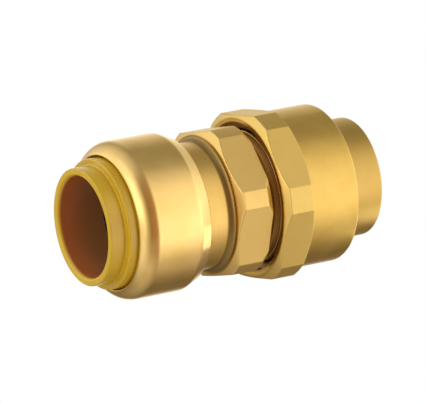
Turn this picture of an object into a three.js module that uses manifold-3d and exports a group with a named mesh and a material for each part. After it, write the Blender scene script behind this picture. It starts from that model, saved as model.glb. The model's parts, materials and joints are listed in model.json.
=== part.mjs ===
// Push-fit coupling with a union end, for 22.2 mm outside diameter copper tube (3/4 in nominal).
//
// One end takes a plain tube and holds it with a toothed ring and an O-ring. The other end is
// a flat-faced union: a nut draws a soldered tailpiece and a gasket against the body.
//
// Frame: millimetres. The common axis is X, with the push-fit mouth at -X and the soldered
// end at +X. The origin is at mid-length on the axis. A flat of the union nut faces -Z.
//
// Most profiles are written as [station, radius] pairs, where a station is the distance
// along the axis from the front face of the release collar.

import * as THREE from "three";
import { mergeVertices } from "three/addons/utils/BufferGeometryUtils.js";
import Module from "manifold-3d";

const wasm = await Module();
wasm.setup();

// ---- driving dimensions ----

const LENGTH = 69.6;
const MIDDLE = LENGTH / 2;
const ROUND_SEGMENTS = 36;

const TUBE_BORE_R = 11.35; // clears a 22.2 mm tube
const SOLDER_CUP_R = 11.15; // close fit on the same tube
const FULL_BORE_R = 9.6; // waterway past the tube stop
const GAP = 0.3; // clearance between pieces that only rest together

// release collar
const COLLAR_TUBE_R = 13.2;
const COLLAR_SLEEVE_R = 12.75; // behind the catch, where it meets the grab ring
const COLLAR_STEP_R = 14.7;
const COLLAR_STEP = 3.85;
const COLLAR_CATCH = 7.7;
const COLLAR_CATCH_R = 15.65;
const COLLAR_NOSE = 9.2;
const COLLAR_END = 11.6;

// retaining cap
const CAP_FRONT = 5.9;
const CAP_MOUTH_R = 15.1;
const CAP_LIP_R = 15.4;
const CAP_R = 17.8;
const CAP_DOME_R = 4.5; // radius of the arc between the lip and the cylinder
const CAP_DOME_STEPS = 6;
const CAP_CRIMP_START = 20.4;
const CAP_END = 23.5;
const CAP_CRIMP_R = 16.4;
const CAP_FRONT_CAVITY_R = 15.95;
const CAP_STEP = 11.75;
const CAP_CAVITY_R = 16.6;

// grab ring
const RING_FRONT = 12.05;
const RING_THICKNESS = 0.5;
const RING_R = 16.3;
const RING_ROOT_R = 13.9;
const RING_TIP_R = 10.95;
const RING_TIP_SHIFT = 1.6;
const RING_TEETH = 16;
const RING_SLOT_ANGLE = (9 * Math.PI) / 180;

// seal protector and O-ring
const PROTECTOR_FRONT = 12.85;
const PROTECTOR_SHOULDER = 14.1;
const PROTECTOR_END = 15.6;
const PROTECTOR_NOSE_R = 13.9;
const PROTECTOR_BORE_R = 11.5;
const SEAL_CENTRE = 17.3;
const SEAL_CENTRE_R = 12.65;
const SEAL_SECTION_R = 1.25;
const SEAL_SEGMENTS = 12;

// fitting body
const BODY_FRONT = 14.4;
const CHAMBER_R = 14.2;
const CHAMBER_END = 18.9;
const BODY_RIDGE_R = 16.3;
const BODY_RIDGE_END = 21.6;
const NECK_R = 14.4;
const NECK_START = 22.6;
const NECK_FLARE = 2; // how far before the hexagon the neck starts to widen
const NECK_FLARE_RISE = 1.1;
const TUBE_STOP = 29.5;
const BODY_HEX_START = 30.5;
const BODY_HEX_END = 38.6;
const BODY_HEX_FLAT_R = 16.25;
const BODY_HEX_CORNER_R = 17.75;
const BODY_HEX_TURN = (-5.4 * Math.PI) / 180;
const RELIEF_R = 13.6;
const RELIEF_END = 42;
const SPIGOT_END = 51.2;
const SPIGOT_BORE_R = 11.2;

// union thread, close to G1 with a pitch of 2.309 mm
const PITCH = 2.309;
const MALE_CORE_R = 15.05;
const MALE_CREST_R = 16.45;
const FEMALE_ROOT_R = 16.75;
const FEMALE_CREST_R = 15.35;
const FLANK_SLOPE = Math.tan((27.5 * Math.PI) / 180);
const MALE_CREST_WIDTH = 0.5;
const FEMALE_CREST_WIDTH = 0.26;
const THREAD_ROOT_DEPTH = 0.3; // how far a ridge reaches into the wall that carries it
const MALE_RIDGE_CENTRE = 43.5;
const MALE_TURNS = 2.25;
const FEMALE_TURNS = 3.25;

// union gasket, nut and tailpiece
const GASKET_START = 51.5;
const GASKET_END = 53.5;
const GASKET_INNER_R = 10.6;
const GASKET_OUTER_R = 14.9;
const NUT_START = 41;
const NUT_HEX_END = 48.8;
const NUT_HEX_FLAT_R = 18.5;
const NUT_HEX_CORNER_R = 19.9;
const NUT_ROUND_R = 17.95;
const NUT_END = 60.7;
const NUT_CAVITY_START = 51.3;
const NUT_CAVITY_R = 15.4;
const NUT_SHOULDER = 57.3;
const NUT_BACK_HOLE_R = 13.85;
const TAIL_START = 53.8;
const TAIL_FLANGE_END = 57.0;
const TAIL_FLANGE_R = 14.8;
const TAIL_R = 13.5;
const CUP_BOTTOM = 55.0;
const TAIL_BORE_R = 9.75;

// ---- finishes ----

const brass = { color: 0xc9a24c, roughness: 0.34, metalness: 1 };
const bronzeBrass = { color: 0xcf9f50, roughness: 0.26, metalness: 1 };
const acetal = { color: 0xc9a03a, roughness: 0.5, metalness: 0 };
const steel = { color: 0xb8bcc0, roughness: 0.3, metalness: 1 };
const darkRubber = { color: 0x1c1c1e, roughness: 0.75, metalness: 0 };
const paleAcetal = { color: 0xe6e2d6, roughness: 0.55, metalness: 0 };
const gasketRubber = { color: 0x26282a, roughness: 0.85, metalness: 0 };

// ---- solids ----

/** Turns a closed three.js geometry into a solid that can be joined and cut. */
function toSolid(geometry) {
  const bare = geometry.clone();
  bare.deleteAttribute("normal");
  bare.deleteAttribute("uv");
  const merged = mergeVertices(bare, 1e-4);
  const mesh = new wasm.Mesh({
    numProp: 3,
    vertProperties: new Float32Array(merged.attributes.position.array),
    triVerts: new Uint32Array(merged.index.array),
  });
  return new wasm.Manifold(mesh);
}

/** Turns a joined or cut solid back into a three.js geometry. */
function toGeometry(solid) {
  const mesh = solid.getMesh();
  const geometry = new THREE.BufferGeometry();
  geometry.setAttribute("position", new THREE.BufferAttribute(mesh.vertProperties, 3));
  geometry.setIndex(new THREE.BufferAttribute(mesh.triVerts, 1));
  geometry.computeVertexNormals();
  return geometry;
}

/**
 * Revolves a closed profile of [station, radius] pairs about the X axis. The profile runs
 * outward at its first station, along the outside, and back along the inside.
 */
function revolve(profile) {
  const closed = [...profile, profile[0]];
  const points = closed.map(([station, radius]) => new THREE.Vector2(radius, station - MIDDLE));
  const geometry = new THREE.LatheGeometry(points, ROUND_SEGMENTS);
  geometry.rotateZ(-Math.PI / 2);
  return toSolid(geometry);
}

/** A hexagonal bar between two stations, with a corner on the +Y side turned by an angle. */
function hexBar(start, end, flatRadius, turn) {
  const cornerRadius = flatRadius / Math.cos(Math.PI / 6);
  const outline = new THREE.Shape();
  for (let corner = 0; corner < 6; corner += 1) {
    const angle = turn + (corner * Math.PI) / 3;
    const y = cornerRadius * Math.cos(angle);
    const z = cornerRadius * Math.sin(angle);
    if (corner === 0) {
      outline.moveTo(y, z);
    } else {
      outline.lineTo(y, z);
    }
  }
  outline.closePath();
  const geometry = new THREE.ExtrudeGeometry(outline, { depth: end - start, bevelEnabled: false });
  // local x, y and z become Y, Z and X
  const toAxis = new THREE.Matrix4().makeBasis(
    new THREE.Vector3(0, 1, 0),
    new THREE.Vector3(0, 0, 1),
    new THREE.Vector3(1, 0, 0),
  );
  geometry.applyMatrix4(toAxis);
  geometry.translate(start - MIDDLE, 0, 0);
  return toSolid(geometry);
}

/**
 * One helical ridge of trapezoid section. It is a straight bar bent round the X axis: the
 * bar's length becomes the angle, and it climbs one pitch along +X in each turn about +X.
 */
function threadRidge(startStation, turns, rootRadius, crestRadius, crestWidth) {
  const outward = Math.sign(crestRadius - rootRadius);
  const buried = rootRadius - outward * THREAD_ROOT_DEPTH;
  const crestHalf = crestWidth / 2;
  const buriedHalf = crestHalf + Math.abs(crestRadius - buried) * FLANK_SLOPE;
  const section = new THREE.Shape();
  section.moveTo(-buriedHalf, buried);
  section.lineTo(buriedHalf, buried);
  section.lineTo(crestHalf, crestRadius);
  section.lineTo(-crestHalf, crestRadius);
  section.closePath();
  const steps = Math.round(turns * ROUND_SEGMENTS);
  const geometry = new THREE.ExtrudeGeometry(section, {
    depth: turns * 2 * Math.PI,
    steps,
    bevelEnabled: false,
  });
  const position = geometry.attributes.position;
  for (let i = 0; i < position.count; i += 1) {
    const offset = position.getX(i);
    const radius = position.getY(i);
    const angle = position.getZ(i);
    const x = startStation - MIDDLE + offset + (angle * PITCH) / (2 * Math.PI);
    position.setXYZ(i, x, radius * Math.cos(angle), radius * Math.sin(angle));
  }
  return toSolid(geometry);
}

/** Points of the cap's rounded shoulder, an arc that ends level with the cylinder. */
function domePoints() {
  const first = Math.asin(1 - (CAP_R - CAP_LIP_R) / CAP_DOME_R);
  const centre = CAP_FRONT + CAP_DOME_R * Math.cos(first);
  const points = [];
  for (let step = 0; step <= CAP_DOME_STEPS; step += 1) {
    const angle = first + (step / CAP_DOME_STEPS) * (Math.PI / 2 - first);
    const station = centre - CAP_DOME_R * Math.cos(angle);
    const radius = CAP_R - CAP_DOME_R * (1 - Math.sin(angle));
    points.push([station, radius]);
  }
  return points;
}

// ---- pieces ----

/** Plastic collar that slides in the cap's mouth and opens the grab ring when pressed. */
function makeReleaseCollar() {
  const leadIn = TUBE_BORE_R + 0.75;
  return revolve([
    [0, leadIn],
    [0, COLLAR_TUBE_R - 0.25],
    [0.3, COLLAR_TUBE_R],
    [COLLAR_STEP, COLLAR_TUBE_R],
    [COLLAR_STEP, COLLAR_STEP_R - 0.3],
    [COLLAR_STEP + 0.4, COLLAR_STEP_R],
    [COLLAR_CATCH, COLLAR_STEP_R],
    [COLLAR_CATCH, COLLAR_CATCH_R],
    [COLLAR_NOSE, COLLAR_CATCH_R],
    [COLLAR_NOSE, COLLAR_SLEEVE_R],
    [COLLAR_END - 0.7, COLLAR_SLEEVE_R],
    [COLLAR_END, COLLAR_SLEEVE_R - 0.5],
    [COLLAR_END, TUBE_BORE_R],
    [1.3, TUBE_BORE_R],
  ]);
}

/** Brass cap with a rounded shoulder, crimped behind the body's ridge. */
function makeRetainingCap() {
  const lipInner = NECK_R + GAP + 0.05;
  return revolve([
    [CAP_FRONT + 0.45, CAP_MOUTH_R],
    ...domePoints(),
    [CAP_CRIMP_START, CAP_R],
    [CAP_END - 0.25, CAP_CRIMP_R],
    [CAP_END, CAP_CRIMP_R - 0.3],
    [CAP_END, lipInner],
    [NECK_START + 0.3, lipInner],
    [BODY_RIDGE_END + 0.3, CAP_CAVITY_R],
    [CAP_STEP, CAP_CAVITY_R],
    [CAP_STEP, CAP_FRONT_CAVITY_R],
    [COLLAR_CATCH - GAP, CAP_FRONT_CAVITY_R],
    [COLLAR_CATCH - GAP, CAP_MOUTH_R],
  ]);
}

/** Stainless ring whose teeth lean inward and let a tube pass one way only. */
function makeGrabRing() {
  const back = RING_FRONT + RING_THICKNESS;
  const tipFront = RING_FRONT + RING_TIP_SHIFT;
  const ring = revolve([
    [RING_FRONT, RING_ROOT_R],
    [RING_FRONT, RING_R],
    [back, RING_R],
    [back, RING_ROOT_R],
    [tipFront + RING_THICKNESS, RING_TIP_R],
    [tipFront, RING_TIP_R],
  ]);
  const slotDepth = RING_TIP_SHIFT + 4 * RING_THICKNESS;
  const slots = [];
  for (let tooth = 0; tooth < RING_TEETH; tooth += 1) {
    const angle = (tooth * 2 * Math.PI) / RING_TEETH;
    const wedge = new THREE.Shape();
    wedge.moveTo(RING_ROOT_R * Math.cos(angle), RING_ROOT_R * Math.sin(angle));
    const inner = RING_TIP_R - 1;
    const left = angle - RING_SLOT_ANGLE / 2;
    const right = angle + RING_SLOT_ANGLE / 2;
    wedge.lineTo(inner * Math.cos(left), inner * Math.sin(left));
    wedge.lineTo(inner * Math.cos(right), inner * Math.sin(right));
    wedge.closePath();
    const geometry = new THREE.ExtrudeGeometry(wedge, { depth: slotDepth, bevelEnabled: false });
    geometry.rotateY(Math.PI / 2);
    geometry.translate(RING_FRONT - RING_THICKNESS - MIDDLE, 0, 0);
    slots.push(toSolid(geometry));
  }
  return slots.reduce((solid, slot) => solid.subtract(slot), ring);
}

/** Plastic ring that backs the teeth and keeps them off the O-ring. */
function makeSealProtector() {
  return revolve([
    [PROTECTOR_FRONT, RING_ROOT_R],
    [PROTECTOR_FRONT, RING_R],
    [PROTECTOR_SHOULDER, RING_R],
    [PROTECTOR_SHOULDER, PROTECTOR_NOSE_R],
    [PROTECTOR_END, PROTECTOR_NOSE_R],
    [PROTECTOR_END, PROTECTOR_BORE_R],
    [PROTECTOR_FRONT + 2.1, PROTECTOR_BORE_R],
  ]);
}

/** O-ring that seals on the tube. */
function makeSealRing() {
  const profile = [];
  for (let step = 0; step < SEAL_SEGMENTS; step += 1) {
    const angle = (step * 2 * Math.PI) / SEAL_SEGMENTS;
    const station = SEAL_CENTRE - SEAL_SECTION_R * Math.cos(angle);
    const radius = SEAL_CENTRE_R + SEAL_SECTION_R * Math.sin(angle);
    profile.push([station, radius]);
  }
  return revolve(profile);
}

/** The outside of a chamfered, round-cornered hexagon, as an envelope to cut a bar with. */
function hexEnvelope(start, end, flatRadius, cornerRadius) {
  const chamferRadius = flatRadius - 0.4;
  const slope = Math.tan(Math.PI / 6);
  const chamfer = (cornerRadius - chamferRadius) * slope;
  return revolve([
    [start, 0],
    [start, chamferRadius],
    [start + chamfer, cornerRadius],
    [end - chamfer, cornerRadius],
    [end, chamferRadius],
    [end, 0],
  ]);
}

/** Points of the neck's hollow flare, a quarter ellipse that ends on the hexagon's face. */
function flarePoints() {
  const points = [];
  for (let step = 0; step <= 3; step += 1) {
    const angle = ((step / 3) * Math.PI) / 2;
    const station = BODY_HEX_START - NECK_FLARE * (1 - Math.sin(angle));
    const radius = NECK_R + NECK_FLARE_RISE * (1 - Math.cos(angle));
    points.push([station, radius]);
  }
  return points;
}

/** Brass body: tube socket, seal chamber, wrench hexagon and threaded union spigot. */
function makeFittingBody() {
  const outside = revolve([
    [BODY_FRONT, 0],
    [BODY_FRONT, BODY_RIDGE_R],
    [BODY_RIDGE_END, BODY_RIDGE_R],
    [NECK_START, NECK_R],
    ...flarePoints(),
    [BODY_HEX_START + 0.5, NECK_R + NECK_FLARE_RISE],
    [BODY_HEX_END - 1, NECK_R],
    [BODY_HEX_END - 1, RELIEF_R],
    [RELIEF_END, RELIEF_R],
    [RELIEF_END, MALE_CORE_R],
    [SPIGOT_END - 0.6, MALE_CORE_R],
    [SPIGOT_END, MALE_CORE_R - 0.6],
    [SPIGOT_END, 0],
  ]);
  const hex = hexBar(BODY_HEX_START, BODY_HEX_END, BODY_HEX_FLAT_R, BODY_HEX_TURN).intersect(
    hexEnvelope(BODY_HEX_START, BODY_HEX_END, BODY_HEX_FLAT_R, BODY_HEX_CORNER_R),
  );
  const thread = threadRidge(
    MALE_RIDGE_CENTRE,
    MALE_TURNS,
    MALE_CORE_R,
    MALE_CREST_R,
    MALE_CREST_WIDTH,
  );
  const waterway = revolve([
    [BODY_FRONT - 1, 0],
    [BODY_FRONT - 1, CHAMBER_R],
    [CHAMBER_END, CHAMBER_R],
    [CHAMBER_END, TUBE_BORE_R],
    [TUBE_STOP, TUBE_BORE_R],
    [TUBE_STOP, FULL_BORE_R],
    [TUBE_STOP + 4, FULL_BORE_R],
    [TUBE_STOP + 7, SPIGOT_BORE_R],
    [SPIGOT_END + 1, SPIGOT_BORE_R],
    [SPIGOT_END + 1, 0],
  ]);
  return outside.add(hex).add(thread).subtract(waterway);
}

/** Flat washer that the nut squeezes between the spigot and the tailpiece. */
function makeUnionGasket() {
  return revolve([
    [GASKET_START, GASKET_INNER_R],
    [GASKET_START, GASKET_OUTER_R],
    [GASKET_END, GASKET_OUTER_R],
    [GASKET_END, GASKET_INNER_R],
  ]);
}

/** Union nut: hexagon towards the body, plain round skirt behind it. */
function makeUnionNut() {
  const hex = hexBar(NUT_START, NUT_HEX_END, NUT_HEX_FLAT_R, 0).intersect(
    hexEnvelope(NUT_START, NUT_HEX_END, NUT_HEX_FLAT_R, NUT_HEX_CORNER_R),
  );
  const skirt = revolve([
    [NUT_HEX_END - 1, 0],
    [NUT_HEX_END - 1, NUT_ROUND_R],
    [NUT_END - 0.5, NUT_ROUND_R],
    [NUT_END, NUT_ROUND_R - 0.5],
    [NUT_END, 0],
  ]);
  const cavity = revolve([
    [NUT_START - 1, 0],
    [NUT_START - 1, FEMALE_ROOT_R + 0.3],
    [NUT_START, FEMALE_ROOT_R + 0.3],
    [NUT_START + 0.3, FEMALE_ROOT_R],
    [NUT_CAVITY_START, FEMALE_ROOT_R],
    [NUT_CAVITY_START, NUT_CAVITY_R],
    [NUT_SHOULDER, NUT_CAVITY_R],
    [NUT_SHOULDER, NUT_BACK_HOLE_R],
    [NUT_END + 1, NUT_BACK_HOLE_R],
    [NUT_END + 1, 0],
  ]);
  const thread = threadRidge(
    MALE_RIDGE_CENTRE - PITCH / 2,
    FEMALE_TURNS,
    FEMALE_ROOT_R,
    FEMALE_CREST_R,
    FEMALE_CREST_WIDTH,
  );
  return hex.add(skirt).subtract(cavity).add(thread);
}

/** Tailpiece: a flange held behind the nut's shoulder, and a cup that takes a soldered tube. */
function makeTailpiece() {
  return revolve([
    [TAIL_START, TAIL_BORE_R],
    [TAIL_START, TAIL_FLANGE_R],
    [TAIL_FLANGE_END, TAIL_FLANGE_R],
    [TAIL_FLANGE_END, TAIL_R],
    [LENGTH - 0.4, TAIL_R],
    [LENGTH, TAIL_R - 0.4],
    [LENGTH, SOLDER_CUP_R + 0.2],
    [LENGTH - 0.4, SOLDER_CUP_R],
    [CUP_BOTTOM, SOLDER_CUP_R],
    [CUP_BOTTOM, TAIL_BORE_R],
  ]);
}

// ---- assembly ----

const pieces = [
  ["release_collar", makeReleaseCollar, acetal],
  ["retaining_cap", makeRetainingCap, bronzeBrass],
  ["grab_ring", makeGrabRing, steel],
  ["seal_protector", makeSealProtector, paleAcetal],
  ["seal_ring", makeSealRing, darkRubber],
  ["fitting_body", makeFittingBody, brass],
  ["union_gasket", makeUnionGasket, gasketRubber],
  ["union_nut", makeUnionNut, brass],
  ["tailpiece", makeTailpiece, brass],
];

const coupling = new THREE.Group();
for (const [name, make, finish] of pieces) {
  const material = new THREE.MeshStandardMaterial(finish);
  const mesh = new THREE.Mesh(toGeometry(make()), material);
  mesh.name = name;
  coupling.add(mesh);
}

export default coupling;
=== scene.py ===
"""The looks of the push-fit union coupling: fine meshes, finishes, camera and studio light."""

import json
import math

import bpy
from mathutils import Matrix, Vector


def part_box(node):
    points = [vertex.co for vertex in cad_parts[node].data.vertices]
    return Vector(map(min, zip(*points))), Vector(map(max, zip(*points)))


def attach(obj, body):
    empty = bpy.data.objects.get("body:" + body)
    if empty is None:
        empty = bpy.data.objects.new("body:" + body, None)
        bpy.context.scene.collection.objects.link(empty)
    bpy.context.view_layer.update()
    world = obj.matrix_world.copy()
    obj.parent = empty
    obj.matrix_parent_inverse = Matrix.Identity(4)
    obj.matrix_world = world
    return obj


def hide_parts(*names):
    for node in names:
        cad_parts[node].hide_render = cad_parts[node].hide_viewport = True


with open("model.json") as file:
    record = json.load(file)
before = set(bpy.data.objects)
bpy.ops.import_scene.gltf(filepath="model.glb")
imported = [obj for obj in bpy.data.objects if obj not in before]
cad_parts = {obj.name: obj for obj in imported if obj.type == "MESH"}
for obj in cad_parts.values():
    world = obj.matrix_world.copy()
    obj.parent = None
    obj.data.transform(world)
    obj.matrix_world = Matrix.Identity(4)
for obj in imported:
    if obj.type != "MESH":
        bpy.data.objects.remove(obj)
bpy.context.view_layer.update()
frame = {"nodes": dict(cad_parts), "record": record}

# ---- frame and driving dimensions ----
# A station is a distance in millimetres along the axis from the release collar's front face.

MM = 0.001
MICRON = 0.000001
FRONT_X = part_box("release_collar")[0][0]
TURN = 2 * math.pi


def place_of(station):
    """The X coordinate of a station, in metres."""
    return FRONT_X + station * MM


def start_of(node):
    """The station where a node begins."""
    return (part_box(node)[0][0] - FRONT_X) / MM


def end_of(node):
    """The station where a node ends."""
    return (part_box(node)[1][0] - FRONT_X) / MM


def radius_of(node):
    """A node's largest radius, in millimetres."""
    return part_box(node)[1][1] / MM


# Lengths here and in the pieces below are in millimetres.
EDGE = 0.16  # fillet on an ordinary machined edge
FINE_EDGE = 0.12  # fillet on a small inner ring
GUARD = 0.05  # rows this far either side of a fillet keep the faces beside it flat
TUBE_BORE_R = 11.35
NECK_R = 14.4
HEX_CHAMFER_INSET = 0.4
HEX_CORNER_SOFTNESS = 0.06
HEX_SECTOR = math.radians(60)
PITCH = 2.309
RIDGE_CENTRE = 43.5  # the male ridge's first station, at angle 0
FLANK_SLOPE = math.tan(math.radians(27.5))
FINE_ANGLES = 192  # steps round a large turned piece
COARSE_ANGLES = 128  # steps round a small inner ring


# ---- mesh building ----


def arc_corner(before, corner, after, radius, steps=4):
    """Points of a fillet at one corner of a profile, with a guard row either side of it."""
    b, c, a = Vector(before), Vector(corner), Vector(after)
    into = (b - c).normalized()
    out = (a - c).normalized()
    room = 0.5 * min((b - c).length, (a - c).length)
    guard = min(GUARD, 0.1 * room)
    reach = min(radius, room - 2 * guard)
    first = c + into * reach
    last = c + out * reach
    points = [tuple(first + into * guard)]
    for step in range(steps + 1):
        t = step / steps
        points.append(tuple(first * (1 - t) ** 2 + c * (2 * t * (1 - t)) + last * t ** 2))
    points.append(tuple(last + out * guard))
    return points


def filleted(corners, radius=EDGE, closed=False):
    """
    A profile of (station, radius) corners, each with a small fillet. An open profile keeps its
    two ends sharp.
    """
    count = len(corners)
    points = []
    for i, corner in enumerate(corners):
        at_end = i in (0, count - 1)
        if at_end and not closed:
            points.append(tuple(corner))
            continue
        points += arc_corner(corners[i - 1], corner, corners[(i + 1) % count], radius)
    return points


def even_angles(count):
    """Equal steps round the axis."""
    return [TURN * i / count for i in range(count)]


def turned(name, loop, angles):
    """
    A ring-shaped mesh swept about the X axis. Its closed loop is a list of (station, radius)
    points, where a radius may be a function of the angle. The loop runs outward at its first
    station, along the outside, and back along the inside.
    """
    verts = []
    for angle in angles:
        for station, radius in loop:
            r = (radius(angle) if callable(radius) else radius) * MM
            verts.append((place_of(station), r * math.cos(angle), r * math.sin(angle)))
    rows = len(loop)
    turns = len(angles)
    faces = []
    for i in range(turns):
        here = i * rows
        there = ((i + 1) % turns) * rows
        for j in range(rows):
            k = (j + 1) % rows
            faces.append((here + j, here + k, there + k, there + j))
    mesh = bpy.data.meshes.new(name)
    mesh.from_pydata(verts, [], faces)
    mesh.update()
    mesh.shade_smooth()
    piece = bpy.data.objects.new(name, mesh)
    bpy.context.scene.collection.objects.link(piece)
    return piece


def soft_min(a, b, width):
    """The smaller of two values, with a rounded change-over of the given width."""
    near = max(width - abs(a - b), 0.0) / width
    return min(a, b) - near * near * width / 4


# ---- hexagons ----


def hex_angles(first_corner, corner_half, flat_steps=26):
    """Angles round a hexagon, close together where a flat meets a rounded corner."""
    edge_steps = [-1.1, -0.6, -0.25, 0.0, 0.25, 0.6, 1.1]
    offsets = [math.radians(step) for step in edge_steps]
    band = [-corner_half + o for o in offsets] + [0.0] + [corner_half + o for o in offsets]
    start = band[-1]
    stop = HEX_SECTOR + band[0]
    flats = [start + (stop - start) * i / flat_steps for i in range(1, flat_steps)]
    sector = band + flats
    return [first_corner + HEX_SECTOR * k + a for k in range(6) for a in sector]


def hex_radius(first_corner, flat_r, corner_r):
    """A function of the angle: the outline of a hexagon whose corners are turned down."""

    def radius(angle):
        from_flat = (angle - first_corner) % HEX_SECTOR - HEX_SECTOR / 2
        return soft_min(flat_r / math.cos(from_flat), corner_r, HEX_CORNER_SOFTNESS / 2)

    return radius


def hex_band(start, end, first_corner, flat_r, corner_r, back_r=None, back_angle=30):
    """
    Loop points of a wrench hexagon. Its corners are turned down to a cone at both ends, at 30
    degrees to the face in front and at back_angle behind, where the cone ends at back_r.
    """
    outline = hex_radius(first_corner, flat_r, corner_r)
    front_r = flat_r - HEX_CHAMFER_INSET
    front_rise = 1 / math.tan(math.radians(30))
    back_r = back_r or front_r
    back_rise = 1 / math.tan(math.radians(back_angle))
    rows = 15
    margin = 0.3  # the close rows reach this far past the end of each cone
    front = (corner_r - front_r) / front_rise + margin
    back = (corner_r - back_r) / back_rise + margin
    stations = [start + front * i / rows for i in range(rows + 1)]
    stations.append((start + end) / 2)
    stations += [end - back * i / rows for i in range(rows, -1, -1)]
    points = []
    for station in stations:
        cone = min(front_r + (station - start) * front_rise,
                   back_r + (end - station) * back_rise)

        def radius(angle, cone=cone):
            return soft_min(outline(angle), cone, HEX_CORNER_SOFTNESS)

        points.append((station, radius))
    return points


def corner_half_angle(flat_r, corner_r):
    """Half the angle that a turned-down corner spans."""
    return HEX_SECTOR / 2 - math.acos(flat_r / corner_r)


# ---- threads ----


def thread_rows(start, end, base_r, crest_r, crest_width, centre, turns, step=0.15):
    """
    Loop points of a right-hand thread between two stations. The ridge's middle is at the
    given station where the angle is 0, and it fades out over a short way at each end.
    """
    count = round((end - start) / step)
    fade = 0.12  # of a turn

    def radius_at(station):
        def radius(angle):
            lap = (station - centre) / PITCH - (angle % TURN) / TURN
            whole = round(lap)
            off = abs(lap - whole) * PITCH
            along = whole + (angle % TURN) / TURN
            presence = min(along / fade, (turns - along) / fade, 1.0)
            if presence <= 0:
                return base_r
            depth = abs(crest_r - base_r)
            height = depth - soft_floor((off - crest_width / 2) / FLANK_SLOPE)
            height = max(0.0, min(height, depth)) * smooth(presence)
            return base_r + math.copysign(height, crest_r - base_r)

        return radius

    stations = [start + (end - start) * i / count for i in range(count + 1)]
    return [(station, radius_at(station)) for station in stations]


def soft_floor(value, width=0.1):
    """max(value, 0) with a rounded corner."""
    if value <= -width:
        return 0.0
    if value >= width:
        return value
    return (value + width) ** 2 / (4 * width)


def smooth(t):
    """Eases a value that goes from 0 to 1."""
    return t * t * (3 - 2 * t)


# ---- pieces ----


def make_release_collar():
    """The plastic collar: a plain tube end, a stepped grip, a catch and a thin nose."""
    node = "release_collar"
    end = end_of(node)
    catch_r = radius_of(node)
    tube_r = 13.2
    sleeve_r = 12.75
    step_r = 14.7
    step = 3.85
    catch = 7.7
    nose = 9.2
    lead_in = 0.4
    lead_in_end = 0.7
    corners = [
        (0.0, TUBE_BORE_R + lead_in),
        (0.0, tube_r),
        (step, tube_r),
        (step, step_r),
        (catch, step_r),
        (catch, catch_r),
        (nose, catch_r),
        (nose, sleeve_r),
        (end, sleeve_r - 0.2),
        (end, TUBE_BORE_R),
        (lead_in_end, TUBE_BORE_R),
    ]
    return turned("collar_skin", filleted(corners, 0.32, closed=True), even_angles(FINE_ANGLES))


def make_retaining_cap():
    """The brass cap: a domed shoulder, a round side and a back edge crimped onto the body."""
    node = "retaining_cap"
    front = start_of(node)
    end = end_of(node)
    cap_r = radius_of(node)
    mouth_r = 15.1
    lip_r = 15.4
    shoulder_r = 4.5
    crimp_start = 20.4
    crimp_r = 16.4
    crimp_edge = 0.5
    lip_inner = NECK_R + 0.35
    seat_r = 15.95
    seat_start = 7.4
    seat_end = 11.75
    chamber_r = 16.6
    slope_start = 21.9
    slope_end = 22.9
    first = math.asin(1 - (cap_r - lip_r) / shoulder_r)
    centre = front + shoulder_r * math.cos(first)
    dome = []
    dome_steps = 14
    for step in range(dome_steps + 1):
        angle = first + (math.pi / 2 - first) * step / dome_steps
        station = centre - shoulder_r * math.cos(angle)
        dome.append((station, cap_r - shoulder_r * (1 - math.sin(angle))))
    crimp = filleted([dome[-1], (crimp_start, cap_r), (end, crimp_r)], crimp_edge)[1:-1]
    inside = filleted([crimp[-1], (end, crimp_r), (end, lip_inner), (slope_end, lip_inner),
                       (slope_start, chamber_r), (seat_end, chamber_r), (seat_end, seat_r),
                       (seat_start, seat_r), (seat_start, mouth_r), (front, mouth_r),
                       dome[0]], 0.18)[1:-1]
    return turned("cap_skin", dome + crimp + inside, even_angles(FINE_ANGLES))


def make_fitting_body():
    """The brass body: socket, neck with a hollow flare, hexagon and threaded spigot."""
    node = "fitting_body"
    start = start_of(node)
    end = end_of(node)
    flat_r = 16.25
    corner_r = radius_of(node)
    first_corner = math.radians(-5.4)
    hex_start = 30.5
    hex_end = 39.0
    hex_back_r = 16.95
    hex_back_angle = 60
    flare = 2.0
    flare_rise = 1.1
    head_r = 16.3
    head_end = 21.6
    neck_start = 22.6
    neck_end = 27
    chamber_r = 14.2
    chamber_end = 18.9
    tube_stop = 29.5
    stop_r = 9.6
    stop_end = 33.5
    spigot_bore_start = 36.5
    spigot_bore_r = 11.2
    relief_r = 13.6
    relief_end = 42.0
    core_r = 15.05
    crest_r = 16.45
    front = filleted([(start, chamber_r), (start, head_r), (head_end, head_r),
                      (neck_start, NECK_R), (neck_end, NECK_R)])
    flare_steps = 12
    for step in range(flare_steps + 1):
        angle = math.pi / 2 * step / flare_steps
        station = hex_start - flare * (1 - math.sin(angle))
        front.append((station, NECK_R + flare_rise * (1 - math.cos(angle))))
    back = filleted([(hex_end, flat_r - 0.6), (hex_end, relief_r), (relief_end, relief_r),
                     (relief_end, core_r - 0.3), (relief_end + 0.1, core_r)])
    thread = thread_rows(42.15, 50.6, core_r, crest_r, crest_width=0.5, centre=RIDGE_CENTRE,
                         turns=2.25)
    inside = filleted([(50.65, core_r), (end, core_r - 0.5), (end, spigot_bore_r),
                       (spigot_bore_start, spigot_bore_r), (stop_end, stop_r),
                       (tube_stop, stop_r), (tube_stop, TUBE_BORE_R),
                       (chamber_end, TUBE_BORE_R), (chamber_end, chamber_r),
                       (start + 0.2, chamber_r)])
    hexagon = hex_band(hex_start, hex_end, first_corner, flat_r, corner_r,
                       hex_back_r, hex_back_angle)
    loop = front + hexagon + back + thread + inside
    angles = hex_angles(first_corner, corner_half_angle(flat_r, corner_r))
    return turned("body_skin", loop, angles)


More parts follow.
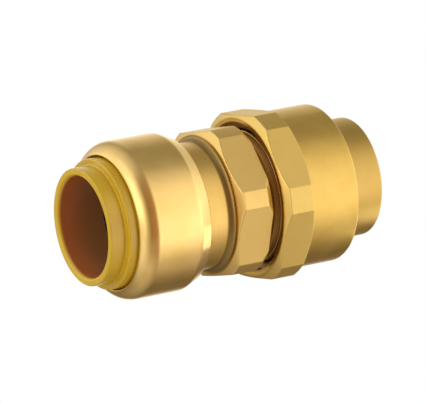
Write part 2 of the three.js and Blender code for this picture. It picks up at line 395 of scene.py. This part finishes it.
def make_union_nut():
    """The union nut: a hexagon, a round skirt and an internal thread."""
    node = "union_nut"
    start = start_of(node)
    end = end_of(node)
    flat_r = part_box(node)[1][2] / MM
    corner_r = radius_of(node)
    root_r = 16.75
    crest_r = 15.35
    cavity_r = 15.4
    cavity_start = 51.3
    wall_start = 57.3
    tail_hole_r = 13.85
    hex_end = 48.8
    skirt_r = 17.95
    hexagon = hex_band(start, hex_end, 0.0, flat_r, corner_r)
    skirt = filleted([(hex_end, flat_r - 0.42), (hex_end + 0.02, skirt_r), (end, skirt_r),
                      (end, tail_hole_r), (wall_start, tail_hole_r), (wall_start, cavity_r),
                      (cavity_start, cavity_r), (cavity_start, root_r)], 0.4)
    thread = thread_rows(start + 0.5, 51.1, root_r, crest_r, crest_width=0.26,
                         centre=RIDGE_CENTRE - PITCH / 2, turns=3.25)
    mouth = filleted([(start + 0.45, root_r), (start + 0.3, root_r), (start, root_r + 0.3),
                      (start, flat_r - 0.6)])
    loop = hexagon + skirt + thread[::-1] + mouth
    angles = hex_angles(0.0, corner_half_angle(flat_r, corner_r))
    return turned("nut_skin", loop, angles)


def make_tailpiece():
    """The plain stub: a flange held by the nut, a waterway and a solder cup."""
    node = "tailpiece"
    start = start_of(node)
    end = end_of(node)
    flange_r = radius_of(node)
    flange_end = 57.0
    tail_r = 13.5
    waterway_r = 9.75
    cup_r = 11.15
    cup_floor = 55.0
    corners = [(start, waterway_r), (start, flange_r), (flange_end, flange_r),
               (flange_end, tail_r), (end, tail_r), (end, cup_r), (cup_floor, cup_r),
               (cup_floor, waterway_r)]
    return turned("tail_skin", filleted(corners, 0.3, closed=True), even_angles(FINE_ANGLES))


def make_seal_protector():
    """The plastic ring between the teeth and the seal."""
    node = "seal_protector"
    start = start_of(node)
    end = end_of(node)
    rim_r = radius_of(node)
    rim_end = 14.1
    sleeve_r = 13.9
    inner_r = 11.5
    corners = [(start, sleeve_r), (start, rim_r), (rim_end, rim_r), (rim_end, sleeve_r),
               (end, sleeve_r), (end, inner_r), (start + 2.1, inner_r)]
    loop = filleted(corners, FINE_EDGE, closed=True)
    return turned("protector_skin", loop, even_angles(COARSE_ANGLES))


def make_seal_ring():
    """The O-ring that seals on the tube."""
    node = "seal_ring"
    section_r = (end_of(node) - start_of(node)) / 2
    centre = (end_of(node) + start_of(node)) / 2
    centre_r = radius_of(node) - section_r
    loop = [(centre - section_r * math.cos(angle), centre_r + section_r * math.sin(angle))
            for angle in even_angles(24)]
    return turned("seal_skin", loop, even_angles(COARSE_ANGLES))


def make_union_gasket():
    """The flat washer between the spigot and the tailpiece."""
    node = "union_gasket"
    start = start_of(node)
    end = end_of(node)
    outer_r = radius_of(node)
    inner_r = 10.6
    corners = [(start, inner_r), (start, outer_r), (end, outer_r), (end, inner_r)]
    loop = filleted(corners, FINE_EDGE, closed=True)
    return turned("gasket_skin", loop, even_angles(COARSE_ANGLES))


# ---- finishes ----
# Noise and line scales are per metre. Stations and radii are in millimetres, and the depths
# of reliefs in metres.

NOISE_LOW = 0.3  # most of a noise's values lie between these two
NOISE_HIGH = 0.7


class Finish:
    """A small helper that adds and links the nodes of one procedural material."""

    def __init__(self, name, color, metallic, roughness):
        self.material = bpy.data.materials.new(name)
        self.material.use_nodes = True
        self.nodes = self.material.node_tree.nodes
        self.links = self.material.node_tree.links
        self.shader = self.nodes["Principled BSDF"]
        self.shader.inputs["Metallic"].default_value = metallic
        self.base = color
        self.roughness = roughness
        self.coordinates = self.add("ShaderNodeTexCoord").outputs["Object"]

    def add(self, kind, **values):
        """Adds a node and sets its properties."""
        node = self.nodes.new(kind)
        for key, value in values.items():
            setattr(node, key, value)
        return node

    def link(self, source, target):
        self.links.new(source, target)

    def math(self, operation, first, second):
        """Combines two values, each of which is a number or a socket."""
        node = self.add("ShaderNodeMath", operation=operation)
        for socket, value in zip(node.inputs, (first, second)):
            if isinstance(value, (int, float)):
                socket.default_value = value
            else:
                self.link(value, socket)
        return node.outputs[0]

    def noise(self, scale, detail=3.0):
        """Noise through the whole volume."""
        node = self.add("ShaderNodeTexNoise")
        node.inputs["Scale"].default_value = scale
        node.inputs["Detail"].default_value = detail
        self.link(self.coordinates, node.inputs["Vector"])
        return node.outputs["Fac"]

    def lines(self, value, per_metre, detail=2.0):
        """Noise along one coordinate only, as a cutting tool leaves."""
        node = self.add("ShaderNodeTexNoise", noise_dimensions="1D")
        node.inputs["Scale"].default_value = per_metre
        node.inputs["Detail"].default_value = detail
        self.link(value, node.inputs["W"])
        return node.outputs["Fac"]

    def axis_parts(self):
        """The distance along the X axis and the distance from it."""
        split = self.add("ShaderNodeSeparateXYZ")
        self.link(self.coordinates, split.inputs[0])
        across = self.add("ShaderNodeCombineXYZ")
        self.link(split.outputs["Y"], across.inputs["Y"])
        self.link(split.outputs["Z"], across.inputs["Z"])
        length = self.add("ShaderNodeVectorMath", operation="LENGTH")
        self.link(across.outputs[0], length.inputs[0])
        return split.outputs["X"], length.outputs["Value"]

    def spread_noise(self, value, low, high):
        """Stretches a noise to run between two values."""
        node = self.add("ShaderNodeMapRange")
        node.inputs["From Min"].default_value = NOISE_LOW
        node.inputs["From Max"].default_value = NOISE_HIGH
        node.inputs["To Min"].default_value = low
        node.inputs["To Max"].default_value = high
        self.link(value, node.inputs["Value"])
        return node.outputs["Result"]

    def color(self, value, dark, light):
        """The base colour, varied between two multiples of itself."""
        ramp = self.add("ShaderNodeValToRGB")
        low, high = ramp.color_ramp.elements
        low.position = NOISE_LOW
        high.position = NOISE_HIGH
        low.color = [c * k for c, k in zip(self.base, dark)] + [1]
        high.color = [min(c * k, 1) for c, k in zip(self.base, light)] + [1]
        self.link(value, ramp.inputs["Fac"])
        self.link(ramp.outputs["Color"], self.shader.inputs["Base Color"])

    def rough(self, value, spread):
        """The roughness, varied either way by a spread."""
        low = self.roughness - spread
        high = self.roughness + spread
        self.link(self.spread_noise(value, low, high), self.shader.inputs["Roughness"])

    def rougher(self, mask, amount):
        """Adds to the roughness where a mask is 1."""
        socket = self.shader.inputs["Roughness"]
        total = self.math("ADD", socket.links[0].from_socket, self.math("MULTIPLY", mask, amount))
        self.link(total, socket)

    def step(self, value, start, end):
        """Rises smoothly from 0 to 1 as a value goes from start to end."""
        node = self.add("ShaderNodeMapRange", interpolation_type="SMOOTHSTEP")
        node.inputs["From Min"].default_value = start
        node.inputs["From Max"].default_value = end
        self.link(value, node.inputs["Value"])
        return node.outputs["Result"]

    def stain(self, mask, color):
        """Shifts the base colour towards another where a mask is 1."""
        socket = self.shader.inputs["Base Color"]
        blend = self.add("ShaderNodeMix", data_type="RGBA")
        a, b = [item for item in blend.inputs if item.type == "RGBA"][:2]
        self.link(socket.links[0].from_socket, a)
        b.default_value = (*color, 1)
        self.link(mask, blend.inputs["Factor"])
        result = [item for item in blend.outputs if item.type == "RGBA"][0]
        self.link(result, socket)

    def zone(self, along, first, last, edge=0.1):
        """A mask that is 1 between two stations. It fades in over an edge and out over 0.1."""
        after = self.step(along, place_of(first - edge), place_of(first))
        before = self.step(along, place_of(last + 0.1), place_of(last))
        return self.math("MULTIPLY", after, before)

    def bump(self, height, distance, under=None):
        """Relief of a given depth in metres, laid over any relief under it."""
        node = self.add("ShaderNodeBump")
        node.inputs["Distance"].default_value = distance
        node.inputs["Strength"].default_value = 1.0
        self.link(height, node.inputs["Height"])
        if under:
            self.link(under, node.inputs["Normal"])
        self.link(node.outputs["Normal"], self.shader.inputs["Normal"])
        return node.outputs["Normal"]


def turned_brass(name, color, roughness, mark_depth, grain_depth, forged=None, painted_shade=()):
    """
    Brass off a lathe: fine rings round the axis over a slight grain, and faint tarnish. The
    forged zone is duller and slightly uneven; it is a first and last station and the colour
    there. Each zone of painted shade darkens the colour where a recess lies in shade; it is a
    first and last station, a largest radius, the width of its soft edge and the shade colour
    painted there.
    """
    fine_scale = 5200
    broad_scale = 700
    finish = Finish(name, color, 1.0, roughness)
    along, out = finish.axis_parts()
    rings = finish.math("ADD", finish.lines(along, fine_scale), finish.lines(out, fine_scale))
    broad = finish.math("ADD", finish.lines(along, broad_scale, 1.0),
                        finish.lines(out, broad_scale, 1.0))
    grain = finish.noise(2600)
    tarnish = finish.noise(170, 5.0)
    under = finish.bump(grain, grain_depth)
    under = finish.bump(rings, mark_depth, under=under)
    under = finish.bump(broad, mark_depth * 2, under=under)
    finish.color(tarnish, (0.92, 0.91, 0.80), (1.05, 1.05, 1.08))
    ring_share = finish.math("MULTIPLY", rings, 0.3)
    tarnish_share = finish.math("MULTIPLY", tarnish, 0.4)
    blend = finish.math("ADD", ring_share, tarnish_share)
    finish.rough(blend, 0.05)
    if forged:
        first, last, tone = forged
        zone = finish.zone(along, first, last)
        finish.rougher(zone, 0.10)
        finish.stain(zone, tone)
        uneven = finish.math("MULTIPLY", finish.noise(330, 2.0), zone)
        finish.bump(uneven, 40 * MICRON, under=under)
    # Painted shade: each zone darkens the base colour where a recess lies in shade.
    for first, last, largest, edge, dark in painted_shade:
        within = finish.step(out, (largest + edge) * MM, largest * MM)
        zone = finish.math("MULTIPLY", finish.zone(along, first, last, edge), within)
        finish.stain(zone, dark)
    return finish.material


def moulded_plastic(name, color, roughness, coat=0.0, painted_bore_shade=None):
    """
    Injection-moulded plastic with a fine texture and slight colour drift. The painted bore
    shade, if there is one, is a radius and the colours painted on the plastic at the bore's
    mouth and deep inside, where it lies in shade.
    """
    finish = Finish(name, color, 0.0, roughness)
    texture = finish.noise(3200)
    drift = finish.noise(140, 3.0)
    finish.bump(texture, 12 * MICRON)
    finish.color(drift, (0.92, 0.90, 0.85), (1.05, 1.06, 1.1))
    finish.rough(texture, 0.05)
    finish.shader.inputs["Coat Weight"].default_value = coat
    # Painted shade: the bore's wall is coloured dark red-brown, darker deeper in, for the shade
    # inside the collar.
    if painted_bore_shade:
        radius, mouth, deep = painted_bore_shade
        along, out = finish.axis_parts()
        edge = 0.25
        behind_lip = finish.step(along, place_of(0.3), place_of(0.9))
        inside = finish.step(out, (radius + edge) * MM, (radius - edge) * MM)
        inside = finish.math("MULTIPLY", inside, behind_lip)
        finish.stain(inside, mouth)
        depth = finish.step(along, place_of(1.5), place_of(9))
        finish.stain(finish.math("MULTIPLY", inside, depth), deep)
    return finish.material


def spring_steel(name):
    """Bright stainless strip with fine rolling lines."""
    finish = Finish(name, (0.62, 0.63, 0.65), 1.0, 0.25)
    out = finish.axis_parts()[1]
    finish.bump(finish.lines(out, 6000), 4 * MICRON)
    finish.color(finish.noise(400), (0.9, 0.9, 0.9), (1.05, 1.05, 1.05))
    finish.rough(finish.noise(900), 0.06)
    return finish.material


def soft_rubber(name, color, roughness, depth):
    """Rubber with a faint skin texture and a bloom of paler patches."""
    finish = Finish(name, color, 0.0, roughness)
    finish.bump(finish.noise(2400), depth)
    finish.color(finish.noise(260, 4.0), (0.75, 0.75, 0.75), (1.5, 1.5, 1.5))
    finish.rough(finish.noise(700), 0.08)
    return finish.material


# Colours are linear. Brass takes its roughness, then the depths of its rings and of its grain.
# Painted shade: the dark colour painted into the thread relief and inside the nut, where the gap
# lies in shade.
SHADE_UNDER_NUT = (0.56, 0.38, 0.17)
# Painted shade: the dark crescent painted on the neck just before the hexagon, where it lies in
# shade.
SHADE_AT_FLARE = (0.33, 0.215, 0.065)
FINISHES = {
    "collar_plastic": moulded_plastic(
        "golden_acetal", (0.65, 0.425, 0.01), 0.2, coat=0.25,
        painted_bore_shade=(11.75, (0.48, 0.15, 0.045), (0.30, 0.14, 0.05))),
    "cap_brass": turned_brass(
        "cap_bright_brass", (0.86, 0.60, 0.222), 0.18, 1.2 * MICRON, 2 * MICRON),
    "body_brass": turned_brass(
        "body_satin_brass", (0.74, 0.495, 0.15), 0.28, 2.5 * MICRON, 5 * MICRON,
        forged=(30.6, 38.9, (0.79, 0.56, 0.185)),
        painted_shade=[(39.1, 51.0, 16.5, 0.1, SHADE_UNDER_NUT), (29.1, 30.9, 15.5, 0.5, SHADE_AT_FLARE)]),
    "nut_brass": turned_brass(
        "nut_satin_brass", (0.72, 0.49, 0.13), 0.30, 2.5 * MICRON, 5 * MICRON,
        forged=(41.2, 48.7, (0.745, 0.53, 0.155)),
        painted_shade=[(41.3, 51.2, 16.9, 0.1, SHADE_UNDER_NUT)]),
    "tail_brass": turned_brass(
        "tail_satin_brass", (0.63, 0.425, 0.12), 0.38, 2.5 * MICRON, 4 * MICRON),
    "ring_steel": spring_steel("grab_steel"),
    "protector_plastic": moulded_plastic("pale_acetal", (0.78, 0.74, 0.65), 0.5),
    "seal_rubber": soft_rubber("seal_black_rubber", (0.02, 0.02, 0.021), 0.45, 8 * MICRON),
    "gasket_rubber": soft_rubber("gasket_grey_rubber", (0.05, 0.055, 0.06), 0.7, 20 * MICRON),
}


# ---- assembly ----

SKINS = [
    ("release_collar", make_release_collar),
    ("retaining_cap", make_retaining_cap),
    ("fitting_body", make_fitting_body),
    ("union_nut", make_union_nut),
    ("tailpiece", make_tailpiece),
    ("seal_protector", make_seal_protector),
    ("seal_ring", make_seal_ring),
    ("union_gasket", make_union_gasket),
]

BODY_OF = {node: body for body, nodes in frame["record"]["behaviour"]["bodies"].items()
           for node in nodes}
SLOT_OF = {part["node"]: part["material_slot"] for part in frame["record"]["subparts"]}


def assemble():
    """Makes each skin, gives it its finish and lets it ride on its node's body."""
    for node, make in SKINS:
        piece = make()
        piece.data.materials.append(FINISHES[SLOT_OF[node]])
        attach(piece, BODY_OF[node])
        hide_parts(node)
    ring = frame["nodes"]["grab_ring"]
    ring.data.materials.clear()
    ring.data.materials.append(FINISHES["ring_steel"])


# ---- camera and light ----
# Lengths here are in metres, apart from the lens's and the sensor's, in millimetres.

VIEW_DISTANCE = 1.0
VIEW_YAW = math.radians(28.81)
VIEW_DROP = math.radians(7.93)
VIEW_ROLL = math.radians(6.5)
VIEW_TARGET = Vector((place_of(35), 0, 0))
TARGET_RIGHT = 1.4 * MM  # how far right of the picture's middle the target lies
TARGET_DOWN = -0.08 * MM
FOCAL_LENGTH = 378
SENSOR_WIDTH = 36
TAIL_MIDDLE = Vector((place_of(67), 0, 0))


def view_axes():
    """The camera's right, up and forward directions."""
    level = math.cos(VIEW_DROP)
    forward = Vector((math.sin(VIEW_YAW) * level,
                      math.cos(VIEW_YAW) * level,
                      -math.sin(VIEW_DROP)))
    level_right = forward.cross(Vector((0, 0, 1))).normalized()
    level_up = level_right.cross(forward)
    right = level_right * math.cos(VIEW_ROLL) - level_up * math.sin(VIEW_ROLL)
    return right, right.cross(forward), forward


def place_camera():
    """A long lens at the photograph's viewing angle."""
    right, up, forward = view_axes()
    data = bpy.data.cameras.new("camera")
    data.lens = FOCAL_LENGTH
    data.sensor_width = SENSOR_WIDTH
    data.clip_end = 20
    camera = bpy.data.objects.new("camera", data)
    bpy.context.scene.collection.objects.link(camera)
    place = VIEW_TARGET - forward * VIEW_DISTANCE - right * TARGET_RIGHT + up * TARGET_DOWN
    turn = Matrix((right, up, -forward)).transposed()
    camera.matrix_world = Matrix.Translation(place) @ turn.to_4x4()
    bpy.context.scene.camera = camera


def add_softbox(name, aim, direction, distance, size, power):
    """A rectangular light that faces a point of the object and that the camera doesn't see."""
    data = bpy.data.lights.new(name, "AREA")
    data.shape = "RECTANGLE"
    data.size, data.size_y = size
    data.energy = power
    lamp = bpy.data.objects.new(name, data)
    bpy.context.scene.collection.objects.link(lamp)
    away = Vector(direction).normalized()
    lamp.location = aim + away * distance
    lamp.rotation_euler = away.to_track_quat("Z", "Y").to_euler()
    lamp.visible_camera = False


# Brightness of the studio by direction. A sweep angle is about the X axis: 0 is level in front
# of the object (-Y) and 90 is straight up. A reach is the direction's X part, from -1 to 1.
# Each card is a tint, its brightness by sweep, and its brightness by reach.
EVERYWHERE = [(-1.0, 1.0), (1.0, 1.0)]
WHITE = (1.0, 0.99, 1.03)
CARDS = [
    # the room, warm in front and below, paler above and behind
    ((1.18, 0.92, 0.56),
     [(-180, 0.40), (-150, 0.20), (-114, 0.14), (-90, 0.2), (-60, 0.28), (40, 0.28), (80, 0.0)],
     EVERYWHERE),
    ((1.04, 0.97, 0.8),
     [(40, 0.0), (80, 0.37), (120, 0.37), (150, 0.4), (180, 0.46)],
     EVERYWHERE),
    # right-hand softbox
    (WHITE,
     [(-114, 0.0), (-96, 0.06), (-80, 0.24), (-64, 0.42), (-50, 0.86), (-34, 1.34), (-10, 1.38),
      (16, 1.2), (38, 0.98), (50, 0.72), (62, 0.46), (76, 0.1), (90, 0.0)],
     [(0.0, 0.0), (0.2, 0.05), (0.33, 0.35), (0.43, 1.0), (0.78, 1.0), (0.95, 0.2)]),
    # left-hand softbox
    (WHITE,
     [(-180, 0.1), (-110, 0.4), (-70, 0.5), (-40, 0.75), (-4, 1.3), (30, 1.7), (70, 1.5),
      (96, 1.1), (120, 0.8), (150, 0.3), (180, 0.1)],
     [(-0.97, 1.0), (-0.86, 1.0), (-0.76, 0.6), (-0.62, 0.25), (-0.4, 0.0)]),
    # warm gap between the two softboxes
    ((0.13, 0.02, 0.0),
     [(-60, 0.0), (-30, 1.0), (40, 1.0), (70, 0.0)],
     [(-0.4, 0.0), (-0.2, 1.0), (0.1, 1.0), (0.3, 0.0)]),
    # high card over and behind the left end
    (WHITE,
     [(50, 0.0), (80, 0.5), (110, 0.65), (145, 0.8), (165, 0.9), (180, 0.7)],
     [(-0.9, 0.4), (-0.6, 1.0), (-0.3, 0.7), (0.0, 0.35), (0.3, 0.0)]),
    # low card under the left end
    (WHITE,
     [(-180, 0.2), (-150, 0.0), (-105, 0.45), (-70, 0.45), (-45, 0.15), (-20, 0.0)],
     [(-0.9, 0.8), (-0.2, 0.9), (0.1, 0.6), (0.4, 0.1)]),
    # end wall beyond the soldered end
    (WHITE,
     [(-150, 0.4), (-110, 0.4), (-70, 0.8), (60, 1.0), (120, 0.7), (170, 0.5)],
     [(0.7, 0.0), (0.84, 0.5), (0.95, 1.1), (1.0, 1.1)]),
    # pale wall behind the soldered end
    ((1.05, 0.99, 0.85),
     [(-180, 0.8), (-160, 0.6), (-140, 0.0), (118, 0.0), (136, 0.2), (160, 0.5), (180, 0.8)],
     [(0.2, 0.0), (0.42, 1.0), (0.9, 1.0)]),
]


def set_world():
    """Studio surroundings: a dim warm room with softboxes and reflecting cards."""
    world = bpy.data.worlds.new("studio")
    bpy.context.scene.world = world
    world.use_nodes = True
    nodes = world.node_tree.nodes
    links = world.node_tree.links

    def scalar(operation, *inputs):
        node = nodes.new("ShaderNodeMath")
        node.operation = operation
        for socket, value in zip(node.inputs, inputs):
            if isinstance(value, (int, float)):
                socket.default_value = value
            else:
                links.new(value, socket)
        return node.outputs[0]

    def ramp(value, low, high, stops, tint=(1, 1, 1)):
        """A tint times the brightness that the stops give for a value."""
        spread = nodes.new("ShaderNodeMapRange")
        spread.inputs["From Min"].default_value = low
        spread.inputs["From Max"].default_value = high
        links.new(value, spread.inputs["Value"])
        node = nodes.new("ShaderNodeValToRGB")
        links.new(spread.outputs["Result"], node.inputs["Fac"])
        elements = node.color_ramp.elements
        while len(elements) < len(stops):
            elements.new(0.5)
        for element, (at, level) in zip(elements, stops):
            element.position = (at - low) / (high - low)
            element.color = (*(level * t for t in tint), 1)
        return node.outputs["Color"]

    def vector(operation, *inputs):
        node = nodes.new("ShaderNodeVectorMath")
        node.operation = operation
        for socket, value in zip(node.inputs, inputs):
            links.new(value, socket)
        return node.outputs[0]

    coordinates = nodes.new("ShaderNodeTexCoord")
    split = nodes.new("ShaderNodeSeparateXYZ")
    links.new(coordinates.outputs["Generated"], split.inputs[0])
    toward_front = scalar("MULTIPLY", split.outputs["Y"], -1)
    turn = scalar("ARCTAN2", split.outputs["Z"], toward_front)
    sweep = scalar("MULTIPLY", turn, 180 / math.pi)
    reach = split.outputs["X"]
    total = nodes.new("ShaderNodeCombineXYZ").outputs[0]  # black, before any card is added
    for tint, sweep_stops, reach_stops in CARDS:
        across = ramp(sweep, -180, 180, sweep_stops, tint)
        along = ramp(reach, -1, 1, reach_stops)
        total = vector("MULTIPLY_ADD", across, along, total)
    links.new(total, nodes["Background"].inputs["Color"])


def add_backdrop():
    """A white room that only the camera sees."""
    mesh = bpy.data.meshes.new("backdrop")
    walls = (-4.0, 4.0)
    corners = [(x, y, z) for x in walls for y in walls for z in walls]
    sides = [(0, 1, 3, 2), (4, 6, 7, 5), (0, 4, 5, 1), (2, 3, 7, 6), (0, 2, 6, 4), (1, 5, 7, 3)]
    mesh.from_pydata(corners, [], sides)
    card = bpy.data.objects.new("backdrop", mesh)
    bpy.context.scene.collection.objects.link(card)
    material = bpy.data.materials.new("white_card")
    material.use_nodes = True
    nodes = material.node_tree.nodes
    glow = nodes.new("ShaderNodeEmission")
    glow.inputs["Strength"].default_value = 1.0
    output = nodes["Material Output"]
    material.node_tree.links.new(glow.outputs[0], output.inputs["Surface"])
    mesh.materials.append(material)
    card.visible_diffuse = False
    card.visible_glossy = False
    card.visible_transmission = False
    card.visible_shadow = False


assemble()
place_camera()
set_world()
add_backdrop()
add_softbox("low_card", TAIL_MIDDLE, direction=(0.6, -0.30, -0.74), distance=0.05,
            size=(0.03, 0.03), power=0.003)
bpy.context.scene.view_settings.view_transform = "Standard"
